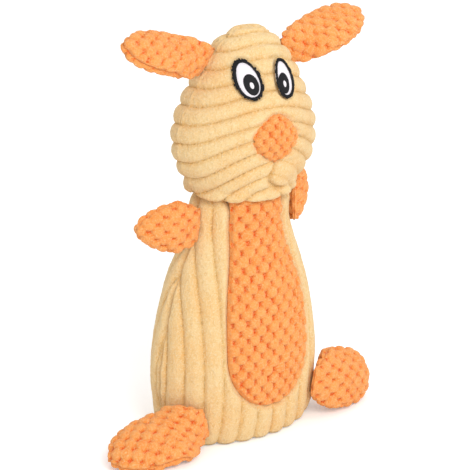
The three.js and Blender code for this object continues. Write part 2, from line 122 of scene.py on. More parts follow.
class StuffedForm:
    def __init__(self, rings, sides, place, outward=1):
        self.rings, self.sides, self.outward = rings, sides, outward
        bm = bmesh.new()
        bmesh.ops.create_uvsphere(bm, u_segments=sides, v_segments=rings, radius=1)
        bm.verts.ensure_lookup_table()
        start = np.array([v.co[:] for v in bm.verts])
        self.ring = np.rint(np.arccos(np.clip(-start[:, 2], -1, 1)) / math.pi * rings).astype(int)
        turn = np.arctan2(start[:, 1], start[:, 0])
        self.side = np.rint(turn / (2 * math.pi) * sides).astype(int) % sides
        self.rest = place(self.ring.astype(float), self.side * 2 * math.pi / sides)
        for v, co in zip(bm.verts, self.rest):
            v.co = co
        if outward < 0:
            bmesh.ops.reverse_faces(bm, faces=bm.faces)
        self.mesh = bpy.data.meshes.new("stuffedForm")
        bm.to_mesh(self.mesh)
        bm.free()
        self.points = self.rest
        self.readGrid()

    def blowUp(self, held, pressure, most):  # no point moves further than most
        steps = 20
        obj = bpy.data.objects.new("stuffedForm", self.mesh)
        bpy.context.scene.collection.objects.link(obj)
        group = obj.vertex_groups.new(name="held")
        for index, weight in enumerate(held(self.ring, self.side)):
            if weight > 0:
                group.add([index], float(weight), "REPLACE")
        cloth = obj.modifiers.new("Cloth", "CLOTH")
        settings = cloth.settings
        settings.quality = 6
        settings.mass = 0.2
        settings.tension_stiffness = settings.compression_stiffness = 12
        settings.shear_stiffness = 6
        settings.bending_stiffness = 0.6
        settings.air_damping = 4
        settings.use_pressure = True
        settings.uniform_pressure_force = pressure
        settings.vertex_group_mass = "held"
        settings.effector_weights.gravity = 0
        cloth.collision_settings.use_collision = False
        cloth.point_cache.frame_start, cloth.point_cache.frame_end = 1, steps
        scene = bpy.context.scene
        for step in range(1, steps + 1):
            scene.frame_set(step)
        shaped = obj.evaluated_get(bpy.context.evaluated_depsgraph_get()).to_mesh()
        got = np.empty(len(shaped.vertices) * 3)
        shaped.vertices.foreach_get("co", got)
        move = got.reshape(-1, 3) - self.rest
        far = np.linalg.norm(move, axis=1, keepdims=True)
        self.points = self.rest + move * np.minimum(1, most / np.maximum(far, 1e-9))
        scene.frame_set(1)
        bpy.data.objects.remove(obj)
        self.readGrid()

    def readGrid(self):
        grid = np.zeros((self.rings + 1, self.sides, 3))
        grid[self.ring, self.side] = self.points
        for pole in (0, self.rings):
            grid[pole, :] = self.points[self.ring == pole][0]
        self.grid = grid

    def arcFrom(self, turn):  # distance round each ring from one turn, as a table for read()
        first = int(round(turn / (2 * math.pi) * self.sides)) % self.sides
        ring = np.roll(self.grid, -first, axis=1)
        step = np.linalg.norm(np.roll(ring, -1, axis=1) - ring, axis=2)
        half = self.sides // 2
        ahead = np.concatenate([np.zeros((self.rings + 1, 1)), np.cumsum(step[:, :half], axis=1)], axis=1)
        back = np.cumsum(step[:, ::-1][:, :half], axis=1)
        arc = np.zeros((self.rings + 1, self.sides))
        arc[:, :half + 1] = ahead
        arc[:, half + 1:] = -back[:, ::-1][:, 1:half]
        return np.roll(arc, first, axis=1)

    def pathAt(self, turn):  # distance up the form from its first ring, one value for each ring
        column = self.grid[:, int(round(turn / (2 * math.pi) * self.sides)) % self.sides]
        return np.concatenate([[0], np.cumsum(np.linalg.norm(np.diff(column, axis=0), axis=1))])

    def read(self, table, row, turn):  # a smooth curve through the 16 nearest entries
        row = np.clip(row, 0, self.rings - 1e-6)
        column = (turn / (2 * math.pi)) % 1 * self.sides
        r, c = np.floor(row).astype(int), np.floor(column).astype(int)
        total = 0
        for i, wr in zip((-1, 0, 1, 2), self.weights(row - r)):
            line = np.clip(r + i, 0, self.rings)
            for j, wc in zip((-1, 0, 1, 2), self.weights(column - c)):
                weight = wr * wc
                value = table[line, (c + j) % self.sides]
                total = total + (weight[..., None] if value.ndim > weight.ndim else weight) * value
        return total

    def at(self, row, turn):  # points on the form and the way out of it
        point = self.read(self.grid, row, turn)
        small = 0.35
        along = self.read(self.grid, row + small, turn) - self.read(self.grid, row - small, turn)
        tip = small * 2 * math.pi / self.sides
        around = self.read(self.grid, row, turn + tip) - self.read(self.grid, row, turn - tip)
        normal = np.cross(around, along) * self.outward
        size = np.linalg.norm(normal, axis=-1, keepdims=True)
        return point, normal / np.maximum(size, 1e-12)

    @staticmethod
    def weights(t):
        return ((-t + 2 * t ** 2 - t ** 3) / 2, (2 - 5 * t ** 2 + 3 * t ** 3) / 2,
                (t + 4 * t ** 2 - 3 * t ** 3) / 2, (t ** 3 - t ** 2) / 2)


# The napped cloths

corduroy = {"pitch": 11.0 * mm, "relief": 2.8 * mm, "roundness": 0.46, "wander": 0.1, "uneven": 0.12}
bobblePlush = {"pitch": 10.0 * mm, "column": 4.15 * mm, "halfLength": 3.7 * mm, "halfWidth": 3.65 * mm,
               "relief": 2.6 * mm, "square": 2.2, "crown": 2.8, "sizes": 0.1, "slip": (0.07, 0.14)}


def wales(distance, points, seed):  # ribs: a height from 0 in a valley to 1 on a crest
    phase = distance / corduroy["pitch"] + corduroy["wander"] * waver(points, 0.03, seed) + seed
    crest = np.sin(math.pi * (phase - np.floor(phase))) ** corduroy["roundness"]
    return np.clip(crest * (1 + corduroy["uneven"] * waver(points, 0.012, seed + 3)), 0, 1.2)


def bobbles(along, across, seed):  # columns of domes, each half a pitch on from the one beside it
    plush = bobblePlush
    pitch, column, square = plush["pitch"], plush["column"], plush["square"]
    first = np.floor(across / column)
    near, tone = np.full(along.shape, 9.0), np.zeros(along.shape)
    for k in (first, first + 1):
        shift = 0.5 * (k % 2)
        j = np.rint(along / pitch - shift)
        size = 1 + plush["sizes"] * (speck(j, k, seed) - 0.5)
        da = (along / pitch - shift - j - plush["slip"][0] * (speck(j, k, seed + 1) - 0.5)) * pitch
        dc = (across / column - k - plush["slip"][1] * (speck(j, k, seed + 2) - 0.5)) * column
        gap = np.abs(da / plush["halfLength"]) ** square + np.abs(dc / plush["halfWidth"]) ** square
        gap = gap ** (1 / square) / size
        closer = gap < near
        near = np.where(closer, gap, near)
        tone = np.where(closer, speck(j, k, seed + 4), tone)
    return np.sqrt(np.clip(1 - near ** plush["crown"], 0, 1)), tone


# Materials

class Value:
    # A socket with arithmetic: each expression adds its Math node.
    def __init__(self, material, socket):
        self.material, self.socket = material, socket

    def maths(self, operation, other, swap=False):
        first, second = (other, self) if swap else (self, other)
        return self.material.node("ShaderNodeMath", {"operation": operation}, {0: first, 1: second})

    def __add__(self, other): return self.maths("ADD", other)
    def __radd__(self, other): return self.maths("ADD", other)
    def __sub__(self, other): return self.maths("SUBTRACT", other)
    def __rsub__(self, other): return self.maths("SUBTRACT", other, True)
    def __mul__(self, other): return self.maths("MULTIPLY", other)
    def __rmul__(self, other): return self.maths("MULTIPLY", other)


class Finish:
    def __init__(self, name):
        self.material = bpy.data.materials.new(name)
        self.material.use_nodes = True
        self.tree = self.material.node_tree
        self.shader = self.tree.nodes["Principled BSDF"]

    def node(self, kind, settings=None, inputs=None, output=0):
        made = self.tree.nodes.new(kind)
        for key, setting in (settings or {}).items():
            if key == "stops":
                ramp = made.color_ramp
                while len(ramp.elements) < len(setting):
                    ramp.elements.new(0.5)
                for element, (place, colour) in zip(ramp.elements, setting):
                    element.position, element.color = place, (*colour, 1)
            else:
                setattr(made, key, setting)
        for key, value in (inputs or {}).items():
            self.put(made.inputs[key], value)
        return Value(self, made.outputs[output])

    def put(self, socket, value):
        if isinstance(value, Value):
            self.tree.links.new(value.socket, socket)
        elif isinstance(value, tuple) and len(value) == 3 and socket.type == "RGBA":
            socket.default_value = (*value, 1)
        else:
            socket.default_value = value

    def set(self, **values):
        for key, value in values.items():
            self.put(self.shader.inputs[key.replace("_", " ")], value)

    def mark(self, name):
        return self.node("ShaderNodeAttribute", {"attribute_name": name}, output="Fac")

    def place(self, scale=(1, 1, 1)):
        co = self.node("ShaderNodeTexCoord", output="Object")
        return self.node("ShaderNodeMapping", {}, {"Vector": co, "Scale": scale})

    def noise(self, co, scale, detail=2.0, roughness=0.5):
        return self.node("ShaderNodeTexNoise", {}, {"Vector": co, "Scale": scale, "Detail": detail,
                                                    "Roughness": roughness})

    def mix(self, factor, a, b, blend="MIX"):
        return self.node("ShaderNodeMix", {"data_type": "RGBA", "blend_type": blend},
                         {"Factor": factor, "A": a, "B": b}, "Result")

    def bump(self, height, distance, strength, below=None):
        inputs = {"Height": height, "Distance": distance, "Strength": strength}
        if below is not None:
            inputs["Normal"] = below
        return self.node("ShaderNodeBump", {}, inputs)


def tint(red, green, blue):  # a colour as it shows on screen, 0 to 255, made linear
    return tuple(c / 12.92 if c <= 0.04045 else ((c + 0.055) / 1.055) ** 2.4
                 for c in (red / 255, green / 255, blue / 255))


napped = {"Roughness": 0.92, "Sheen_Weight": 0.12, "Sheen_Roughness": 0.5, "Specular_IOR_Level": 0.12}


def corduroyFinish():
    # Painted shade: side and valley are darker copies of the crest cream. The ramp below lays them on the
    # wales by pile height, so the wale slopes and valleys carry painted shade. Warm, pale and deep are the
    # cloth's own tones, laid at random.
    look = {"crest": tint(234, 202, 148), "side": tint(231, 192, 131), "valley": tint(215, 172, 100),
            "warm": tint(252, 206, 126), "pale": tint(241, 217, 173), "deep": tint(220, 175, 105),
            "grainScale": 1150.0, "tuftScale": 480.0, "patchScale": 45.0}
    f = Finish("corduroyPile")
    pile = f.mark("pile")
    co = f.place()
    grain = f.noise(co, look["grainScale"], 2.0, 0.6)
    tuft = f.noise(f.place((1, 1, 0.6)), look["tuftScale"], 3.0, 0.65)
    patch = f.noise(co, look["patchScale"], 3.0, 0.6)
    # Painted shade by pile height: valley colour in the valleys, side colour on the slopes, crest colour on
    # top.
    depth = f.node("ShaderNodeValToRGB", {"stops": [(0.1, look["valley"]), (0.45, look["side"]),
                                                    (0.82, look["crest"])]},
                   {"Fac": pile + (tuft - 0.5) * 0.3})
    worn = f.mix((patch - 0.4) * 2.0, depth, f.mix(0.6, depth, look["warm"], "MULTIPLY"))
    dark = f.mix((0.5 - tuft) * 2.6, worn, look["deep"])
    light = f.mix((grain - 0.47) * 3.4, dark, look["pale"])
    f.set(Base_Color=light, Normal=f.bump(grain, 0.001, 0.7, f.bump(tuft, 0.0014, 0.6)), **napped)
    return f.material


def bobbleFinish():
    # Painted shade: side and gap are darker, redder copies of the crest orange. The ramp below lays them on
    # by pile height, so the bobbles' slopes and the gaps between them carry painted shade. Pale, deep and
    # each bobble's tone are the plush's own tones, laid at random.
    look = {"crest": tint(240, 160, 87), "side": tint(239, 146, 67), "gap": tint(228, 92, 28),
            "pale": tint(244, 188, 130), "deep": tint(236, 128, 52), "grainScale": 1150.0, "tuftScale": 560.0}
    f = Finish("bobblePlush")
    pile, tone = f.mark("pile"), f.mark("tone")
    co = f.place()
    grain = f.noise(co, look["grainScale"], 2.0, 0.6)
    tuft = f.noise(co, look["tuftScale"], 3.0, 0.65)
    # Painted shade by pile height: gap colour between the bobbles, side colour on their slopes, crest colour
    # on top.
    depth = f.node("ShaderNodeValToRGB", {"stops": [(0.0, look["gap"]), (0.38, look["side"]),
                                                    (0.8, look["crest"])]},
                   {"Fac": pile + (tuft - 0.5) * 0.6})
    toned = f.mix(tone * 0.35 + (0.5 - tuft) * 2.2, depth, look["deep"])
    light = f.mix((grain - 0.47) * 3.6, toned, look["pale"])
    f.set(Base_Color=light, Normal=f.bump(grain, 0.001, 0.6, f.bump(tuft, 0.0014, 0.6)), **napped)
    return f.material


def threadFinish(name, dark, light, across):
    f = Finish(name)
    stitches = f.mark("stitch")
    fuzz = f.noise(f.place(across), 900.0, 2.0, 0.5)
    # Partly painted light: the stitch mark lightens each stitch's crest and darkens the hollows between
    # stitches, which is painted highlight and painted shade. The fuzz part is the thread's own random tone.
    tone = f.mix(stitches * 0.7 + fuzz * 0.3, dark, light)
    f.set(Base_Color=tone, Roughness=0.6, Sheen_Weight=0.03, Sheen_Roughness=0.4, Specular_IOR_Level=0.22)
    f.set(Normal=f.bump(fuzz, 0.0003, 0.6))
    return f.material


def fibreFinish():
    f = Finish("fibreFill")
    co = f.place()
    clump = f.noise(co, 120.0, 4.0, 0.7)
    strand = f.noise(f.place((1, 6, 1)), 700.0, 2.0, 0.6)
    f.set(Base_Color=f.mix(clump, tint(232, 228, 218), tint(252, 251, 247)), Roughness=0.95,
          Sheen_Weight=0.3)
    f.set(Normal=f.bump(strand, 0.0008, 0.7, f.bump(clump, 0.004, 0.7)))
    return f.material


def squeakerFinish():
    f = Finish("squeakerPlastic")
    co = f.place()
    cloudy = f.noise(co, 80.0, 2.0)
    f.set(Base_Color=f.mix(cloudy, tint(226, 222, 208), tint(240, 238, 228)), Specular_IOR_Level=0.5,
          Roughness=0.32 + 0.15 * f.noise(co, 300.0, 2.0))
    f.set(Normal=f.bump(cloudy, 0.0005, 0.3))
    return f.material


cloths = {
    "corduroy": corduroyFinish(),
    "bobble_plush": bobbleFinish(),
    # Each thread has a darker and a lighter tone. Between them lie the painted shade between stitches, the
    # painted highlight on the stitch crests, and the thread's random fuzz.
    "white_thread": threadFinish("whiteThread", tint(216, 208, 214), tint(252, 248, 252), (8, 1, 1)),
    "black_thread": threadFinish("blackThread", tint(7, 7, 9), tint(30, 30, 34), (1, 1, 8)),
    "fibrefill": fibreFinish(),
    "squeaker_plastic": squeakerFinish(),
}


# Cloth pieces

def makePiece(name, bm, slot, mover, nodes, wall, blend=None):
    # Mover is the body that the piece rides on. A piece with blend rides on no body: it is baked where it
    # stands, and the values in blend are not used.
    mesh = bpy.data.meshes.new(name)
    bm.to_mesh(mesh)
    bm.free()
    mesh.polygons.foreach_set("use_smooth", [True] * len(mesh.polygons))
    mesh.materials.append(cloths[slot])
    obj = bpy.data.objects.new(name, mesh)
    bpy.context.scene.collection.objects.link(obj)
    solid = obj.modifiers.new("Solidify", "SOLIDIFY")
    solid.thickness, solid.offset, solid.use_rim = wall * mm, -1, True
    if blend:
        settled = obj.evaluated_get(bpy.context.evaluated_depsgraph_get())
        obj.data = bpy.data.meshes.new_from_object(settled)
        obj.modifiers.clear()
        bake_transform(obj)
    else:
        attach(obj, mover)
    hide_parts(*nodes)


def net(piece):  # how many faces a piece has across and along
    return piece["net"]


def panel(counts, place, marks, flip=False, drop=None):
    # A flat grid whose points go where place(s, t) says; s and t run from 0 to 1. It also gives
    # the values of the marks, which the finishes read.
    across, along = counts
    sewnGap, sliverArea = 0.00002, 1e-13
    bm = bmesh.new()
    bmesh.ops.create_grid(bm, x_segments=across, y_segments=along, size=0.5)
    bm.verts.ensure_lookup_table()
    flat = np.array([v.co[:] for v in bm.verts]) + 0.5
    points, values = place(flat[:, 0], flat[:, 1])
    layers = [bm.verts.layers.float.new(key) for key in marks]
    for i, v in enumerate(bm.verts):
        v.co = points[i]
        for layer, value in zip(layers, values):
            v[layer] = value[i]
    if drop is not None:
        gone = drop(points)
        faces = [face for face in bm.faces if all(gone[v.index] for v in face.verts)]
        bmesh.ops.delete(bm, geom=faces, context="FACES")
    bmesh.ops.remove_doubles(bm, verts=bm.verts, dist=sewnGap)
    slivers = [face for face in bm.faces if face.calc_area() < sliverArea]
    bmesh.ops.delete(bm, geom=slivers, context="FACES_ONLY")
    if flip:
        bmesh.ops.reverse_faces(bm, faces=bm.faces)
    return bm


def discMap(s, t):  # from a square's shares to a round disc of radius 1
    x, y = 2 * s - 1, 2 * t - 1
    return x * np.sqrt(1 - y * y / 2), y * np.sqrt(1 - x * x / 2)


def lineGap(x, z, points):  # distance to a line of points in X and Z
    near = np.full(x.shape, 1e9)
    for (ax, az), (bx, bz) in zip(points[:-1], points[1:]):
        dx, dz = bx - ax, bz - az
        t = np.clip(((x - ax) * dx + (z - az) * dz) / (dx * dx + dz * dz + 1e-18), 0, 1)
        near = np.minimum(near, np.hypot(x - ax - t * dx, z - az - t * dz))
    return near


def signedGap(x, z, outline):  # distance to an outline in X and Z, below zero inside it
    a = np.asarray(outline, float)
    b = np.roll(a, -1, axis=0)
    inside = np.zeros(x.shape, bool)
    for (ax, az), (bx, bz) in zip(a, b):
        if az != bz:
            crosses = ((az > z) != (bz > z)) & (x < ax + (z - az) * (bx - ax) / (bz - az))
            inside = inside ^ crosses
    near = lineGap(x, z, np.concatenate([a, a[:1]]))
    return np.where(inside, -near, near)


def curve(start, first, second, end, steps=16):  # a cubic curve's points, without its last
    t = np.linspace(0, 1, steps, endpoint=False)[:, None]
    p = [np.array(q, float) for q in (start, first, second, end)]
    return (1 - t) ** 3 * p[0] + 3 * t * (1 - t) ** 2 * p[1] + 3 * t * t * (1 - t) * p[2] + t ** 3 * p[3]


# Body. A tuple of three holds how much, where and how far it reaches.
body = {
    "height": 134, "halfWidth": 51.2, "halfDepth": 33, "neckDome": 20, "lean": (2, -3), "roll": 0.06,
    "rings": 48, "sides": 64, "baseRing": 4, "neckRing": 40, "ringBias": 1.15, "lowest": 1.3,
    "slack": 0.8, "pressure": 4.0, "most": 2.4, "sway": 0.5, "swaySize": 31.0,
    "backFull": (0.1, 0.6, 0.22), "leftSlim": (1.4, 0.68, 0.15),
    "valley": -0.6, "wall": 1.1, "hem": 0.6, "hemRows": 1.6, "hemDrop": 0.6, "tuck": 5.6, "tuckDrop": 1.0,
    "seamDepth": 1.1, "seamWidth": 2.0, "seamRise": 2.4,
    "pucker": 0.4, "puckerWidth": 5.0, "puckerPitch": 2.3,
    "bellyPress": 1.1, "bellyDip": (-0.5, 3.2), "ribsEnd": (-0.4, 2.0), "hidden": 2.6,
    "net": (176, 130), "quickNet": (40, 40),
    "rows": [[0, .838, .84], [.02, .882, .895], [.07, .941, .955], [.18, .985, 1], [.3, 1, 1],
             [.42, .965, .98], [.54, .897, .94], [.64, .838, .89], [.73, .765, .82], [.82, .668, .73],
             [.91, .591, .64], [1, .579, .606]],
}


def bodyPlace(ring, turn):
    low, high = body["baseRing"], body["neckRing"]
    share = np.clip((ring - low) / (high - low), 0, 1) ** body["ringBias"]
    held = (np.abs(np.sin(turn)) < 0.02) | (ring <= low) | (ring >= high)
    slack = np.where(held, 0, body["slack"])
    wide = body["halfWidth"] * readRows(body["rows"], share, 1) - slack
    deep = body["halfDepth"] * readRows(body["rows"], share, 2) - slack
    deep = deep * (1 + hump(share, *body["backFull"]) * (np.sin(turn) > 0.02))
    besideSeam = np.maximum(np.cos(turn), 0) * np.minimum(1, 2 * np.abs(np.sin(turn)))
    wide = wide - hump(share, *body["leftSlim"]) * besideSeam
    over = np.clip((ring - high) / (body["rings"] - high), 0, 1) * math.pi / 2
    inner = np.clip(ring / low, 0, 1) * np.cos(over)
    x, y = wide * np.cos(turn) * inner, deep * np.sin(turn) * inner
    x, up = tilted(x, body["neckDome"] * np.sin(over), np.where(ring > high, body["roll"], 0.0))
    z = np.maximum(share * body["height"], body["lowest"]) + up
    points = np.stack([x + body["lean"][0] * share ** 2, y + body["lean"][1] * share ** 2, z], axis=-1)
    sway = body["sway"] * waver(points, body["swaySize"], 1.7) * fade(z, 2, 20) * (1 - fade(z, 110, 130))
    points[..., 0] += sway * np.cos(turn)
    points[..., 1] += sway * np.sin(turn)
    return points * mm


def bodyHeld(ring, side):
    seam = (side == 0) | (side == body["sides"] // 2)
    return np.where(seam | (ring <= body["baseRing"]) | (ring >= body["neckRing"]), 1.0, 0.0)


bodyForm = StuffedForm(body["rings"], body["sides"], bodyPlace)
bodyForm.blowUp(bodyHeld, body["pressure"], body["most"] * mm)
print("body blown up")

belly = {"bottom": 20, "widest": 52, "top": 148, "halfWidth": 28.5, "topHalfWidth": 17.3, "side": 5,
         "topSide": 2, "waist": 0.6, "valley": -0.5, "wall": 0.9, "puff": 0.9, "puffReach": 12,
         "press": 0.9, "edgeRise": 2.2, "tuck": (140, 147), "net": (110, 236), "quickNet": (40, 70)}


def bellyOutline():
    b, h = belly, body["height"]
    waist = b["widest"] + (h - b["widest"]) * b["waist"]
    wide, narrow, side, top = b["halfWidth"], b["topHalfWidth"], b["side"], b["topSide"]
    right = curve((side + wide, b["widest"]), (side + wide, waist), (top + narrow, waist), (top + narrow, h))
    left = curve((top - narrow, h), (top - narrow, waist), (side - wide, waist), (side - wide, b["widest"]))
    turn = np.linspace(math.pi, 2 * math.pi, 32, endpoint=False)
    foot = np.stack([side + wide * np.cos(turn), b["widest"] + (b["widest"] - b["bottom"]) * np.sin(turn)], 1)
    above = [[top + narrow, h], [top + narrow, h + 40], [top - narrow, h + 40]]
    return np.concatenate([right, above, left, foot]) * mm


bellyEdge = bellyOutline()
frontArc, backArc = bodyForm.arcFrom(-math.pi / 2), bodyForm.arcFrom(math.pi / 2)


def seamGroove(arc, halfArc, depth, width):  # pulls cloth in near both ends of an arc
    return hump(halfArc - np.abs(arc), depth, 0, width)


def makeBodyPanel(name, node, start, end, arcs, seed, front):
    rowLow, rowHigh = body["baseRing"] - body["hem"], body["neckRing"] + body["tuck"]

    def place(s, t):
        turn = start + (end - start) * s
        row = rowLow + (rowHigh - rowLow) * t
        point, normal = bodyForm.at(row, turn)
        arc = bodyForm.read(arcs, row, turn)
        half = np.abs(bodyForm.read(arcs, row, np.where(s < 0.5, start, end)))
        rib = wales(arc, point, seed)
        low = fade(row, rowLow, rowLow + body["hemRows"])
        high = 1 - fade(row, body["neckRing"] - 1, body["neckRing"] + 3)
        swell = corduroy["relief"] / mm * rib + fluff(point, seed + 5)
        swell = swell * fade((half - np.abs(arc)) / mm, 0, body["seamRise"])
        lift = body["valley"] + swell * atLeast(0.35, low) * atLeast(0.15, high)
        lift = lift - (1 - low) * body["hemDrop"] - (1 - high) * body["tuckDrop"]
        lift = lift - seamGroove(arc / mm, half / mm, body["seamDepth"], body["seamWidth"])
        pucker = np.sin(point[:, 2] / mm / body["puckerPitch"] + 2 * waver(point, 0.012, 1.0))
        lift = lift + body["pucker"] * pucker * seamGroove(arc / mm, half / mm, 1.0, body["puckerWidth"])
        if front:
            gap = signedGap(point[:, 0], point[:, 2], bellyEdge) / mm
            lift = lift - swell * (1 - fade(gap, *body["ribsEnd"]))
            lift = lift - body["bellyPress"] * (1 - fade(gap, *body["bellyDip"]))
        return point + normal * (lift * mm)[:, None], [np.clip(rib, 0, 1)]

    def under(points):  # the cloth that the belly hides
        return signedGap(points[:, 0], points[:, 2], bellyEdge) < -body["hidden"] * mm

    bm = panel(net(body), place, ["pile"], drop=under if front else None)
    makePiece(name, bm, "corduroy", "torso", [node], body["wall"])


makeBodyPanel("bodyFront", "body_front_panel", -math.pi, 0.0, frontArc, 0.5, True)
makeBodyPanel("bodyBack", "body_back_panel", 0.0, math.pi, backArc, 0.31, False)


def standOn(form, x, z, flat, row):
    # The row and turn where the front of a form stands at x and z, stepped to from one row.
    row, turn = row + 0 * x, -1.57 + 0 * x
    smallTurn, smallRow = 0.01, 0.05
    for tries in range(12):
        here = flat(form.at(row, turn)[0])
        right = (flat(form.at(row, turn + smallTurn)[0]) - here) / smallTurn
        up = (flat(form.at(row + smallRow, turn)[0]) - here) / smallRow
        dx, dz = x - here[:, 0], z - here[:, 1]
        flatArea = right[:, 0] * up[:, 1] - right[:, 1] * up[:, 0]
        flatArea = np.where(np.abs(flatArea) < 1e-9, 1e-9, flatArea)
        turn = turn + np.clip((dx * up[:, 1] - dz * up[:, 0]) / flatArea, -0.25, 0.25)
        row = row + np.clip((dz * right[:, 0] - dx * right[:, 1]) / flatArea, -2.5, 2.5)
        turn = np.clip(turn, -math.pi + 0.03, -0.03)
        row = np.clip(row, 0.5, form.rings - 0.5)
    return row, turn


def makeBelly():
    heights = np.linspace(belly["bottom"], belly["top"], 260) * mm
    xs = np.linspace(bellyEdge[:, 0].min(), bellyEdge[:, 0].max(), 800)
    seams = []
    for z in heights:
        held = xs[signedGap(xs, z + 0 * xs, bellyEdge) < 0]
        seams.append((held[0], held[-1]) if len(held) else (belly["side"] * mm, belly["side"] * mm))
    seams = np.array(seams)
    path = bodyForm.pathAt(-math.pi / 2)

    def place(s, t):
        share = 0.3 * t * t + 0.7 * t  # closer rows low down
        z = (belly["bottom"] + (belly["top"] - belly["bottom"]) * share) * mm
        left, right = np.interp(z, heights, seams[:, 0]), np.interp(z, heights, seams[:, 1])
        row, turn = standOn(bodyForm, left + (right - left) * s, z, lambda points: points[:, [0, 2]], 20)
        point, normal = bodyForm.at(row, turn)
        arc = bodyForm.read(frontArc, row, turn)
        height = np.interp(row, np.arange(len(path)), path)
        dome, tone = bobbles(height, arc, 3.0)
        gap = -signedGap(point[:, 0], point[:, 2], bellyEdge) / mm
        edge, high = fade(gap, 0, belly["edgeRise"]), 1 - fade(z / mm, *belly["tuck"])
        swell = bobblePlush["relief"] / mm * dome + fluff(point, 2.0)
        lift = belly["valley"] + swell * atLeast(0.15, edge) * atLeast(0.2, high)
        lift = lift - belly["press"] * (1 - fade(gap, -0.2, 1.8))
        lift = lift + belly["puff"] * fade(gap, 0, belly["puffReach"]) - (1 - high)
        return point + normal * (lift * mm)[:, None], [dome, tone]

    bm = panel(net(belly), place, ["pile", "tone"])
    makePiece("belly", bm, "bobble_plush", "torso", ["belly_panel"], belly["wall"])


makeBelly()

base = {"width": 0.85, "depth": 0.83, "level": 1.7, "relief": 1.6, "rim": 0.5, "wall": 0.9,
        "net": (90, 44), "quickNet": (40, 30)}


def makeBase():
    def place(s, t):
        x, y = discMap(s, t)
        px, py = x * body["halfWidth"] * base["width"], y * body["halfDepth"] * base["depth"]
        points = np.stack([px, py, 0 * px], axis=1) * mm
        rib = wales(points[:, 0], points, 0.5)
        edge = fade(np.hypot(x, y), 0.9, 1.0)
        points[:, 2] = (base["level"] - base["relief"] * rib * (1 - edge) + base["rim"] * edge) * mm
        return points, [np.clip(rib, 0, 1)]

    bm = panel(net(base), place, ["pile"], flip=True)
    makePiece("base", bm, "corduroy", "torso", ["base_panel"], base["wall"])


makeBase()
print("body cloth done")

# Head: shaped upright over the origin, then set on the neck with its slight lean
head = {
    "skirt": 143, "height": 91, "halfWidth": 43.4, "halfDepth": 29, "dome": 1.0,
    "muzzle": (4.6, 179.4, 24), "cheek": (2.2, 162, 10),
    "lobe": (9.5, 155.8, 10.0, 2.6),  # the lip's X, Z, size and swell
    "lobeRest": 1.4, "lobeEdge": (0.85, 1.4), "lobeSmooth": 0.85, "pressedLift": 0.5,
    "rings": 44, "sides": 64, "lowRing": 3, "topRing": 40, "hem": 0.9, "hemRows": 1.5, "hemDrop": 0.6,
    "slack": 1.2, "pressure": 4.0, "most": 2.4, "sway": 0.6, "swaySize": 26.0,
    "valley": -0.7, "wall": 1.1, "seamDepth": 0.7, "seamWidth": 1.6, "backSlope": 0.2,
    "mouthRise": 7.0, "mouthReach": 15, "mouthTop": (172, 190), "slitDepth": 2.6, "slitWidth": 1.2,
    "net": (150, 180), "quickNet": (44, 60),
    "rise": [[146, 22], [165, 21], [182, 17], [205, 12], [222, 8.5], [234, 4]],
    "mouth": [[1.0, 169], [-0.4, 163], [-1.2, 157.5], [-0.2, 153.6], [3.3, 150.4], [8, 148.4], [12, 147.8]],
    "rows": [[0, .7, .79], [.085, .79, .87], [.2, .925, .96], [.31, .995, 1], [.4, 1, 1],
             [.5, .945, .97], [.6, .845, .91], [.7, .74, .83], [.8, .61, .72], [.89, .47, .55],
             [.95, .35, .38], [1, .21, .18]],
}
nose = {"height": 180, "halfWidth": 14.8, "halfHeight": 13.5, "bow": 0.55, "base": 0.3, "relief": 2.5,
        "puff": 1.8, "puffReach": 9, "press": 1.1, "wall": 0.9, "scale": (1.35, 1.3),
        "start": (0.003, 0.0035), "ragged": [(0.035, 7, 1), (0.03, 13, 2), (0.03, 23, 0)],
        "net": (50, 50), "quickNet": (30, 30)}
eye = {"height": 210.6, "spacing": 20.8, "sideways": -2.6, "halfWidth": 6.4, "halfHeight": 9.7,
       "narrow": 0.13, "narrower": {"right": (1.0, 1.0), "left": (0.86, 0.98)},
       "drop": {"right": 0.0, "left": 0.9}, "tilt": {"right": -0.12, "left": -0.11},
       "border": 1.2, "jag": 0.8, "jags": 64, "nick": 0.12, "nicks": 140, "stitches": 150,
       "stitchRelief": 0.08, "edgeDrop": 0.25, "borderRelief": 0.16, "borderDrop": 0.55,
       "pupil": (3.7, 5.3), "glint": (1.0, 1.7), "pupilAt": (0.9, -2.2), "glintDrop": 0.4}


def setOnNeck(points):
    x, z = tilted(points[..., 0], points[..., 2] - body["height"], body["roll"])
    return np.stack([x + body["lean"][0], points[..., 1] + body["lean"][1], z + body["height"]], axis=-1)


def upright(points):  # back to the upright head: X and Z in metres
    x, z = points[:, 0] - body["lean"][0] * mm, points[:, 2] - body["height"] * mm
    x, z = tilted(x, z, -body["roll"])
    return np.stack([x, z + body["height"] * mm], axis=1)


